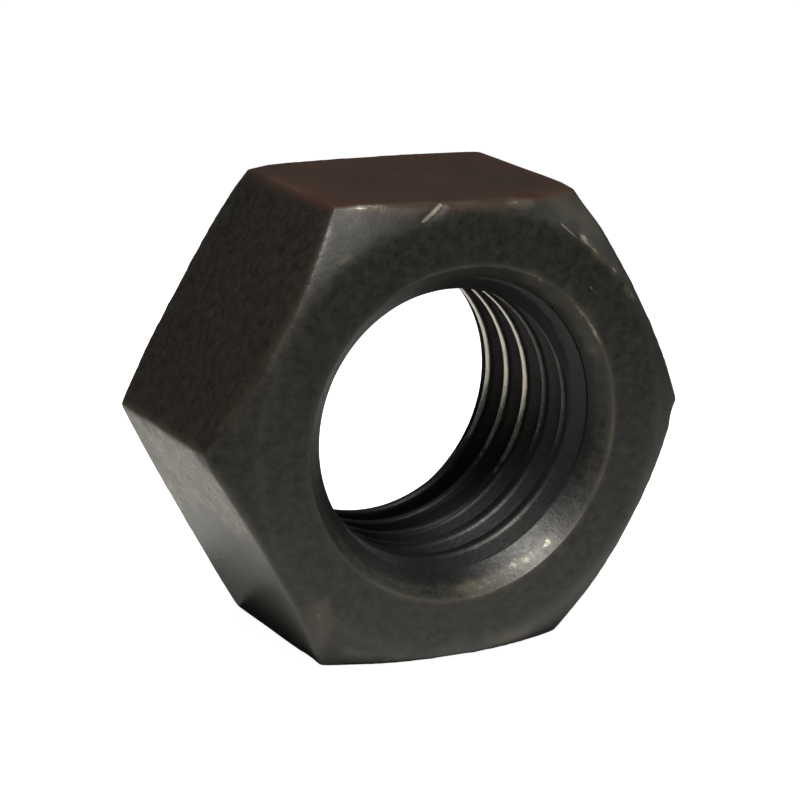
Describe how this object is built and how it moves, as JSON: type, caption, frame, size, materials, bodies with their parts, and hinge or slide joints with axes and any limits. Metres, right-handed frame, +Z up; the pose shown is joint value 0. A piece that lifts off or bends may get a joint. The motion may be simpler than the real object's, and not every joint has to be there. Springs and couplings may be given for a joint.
{
  "type": "hex nut",
  "caption": "Plain hexagon nut with a coarse right-hand metric thread, chamfered corners and a countersunk mouth at both faces, in blackened steel.",
  "frame": {"origin": "centre of the flat that the nut stands on, midway between its two faces, so the thread axis is level at half the width across flats above it", "axes": "+Y along the thread axis from the front face (the more strongly chamfered one, looking to -Y) to the back face; +X across corners; +Z up, across flats"},
  "size_m": [0.0344, 0.016, 0.03],
  "materials": {
    "black_oxide_steel": "black oxide over cold-formed steel, satin, worn bright along edges"
  },
  "bodies": {
    "root": {"hex_nut": "black_oxide_steel"}
  },
  "joints": []
}
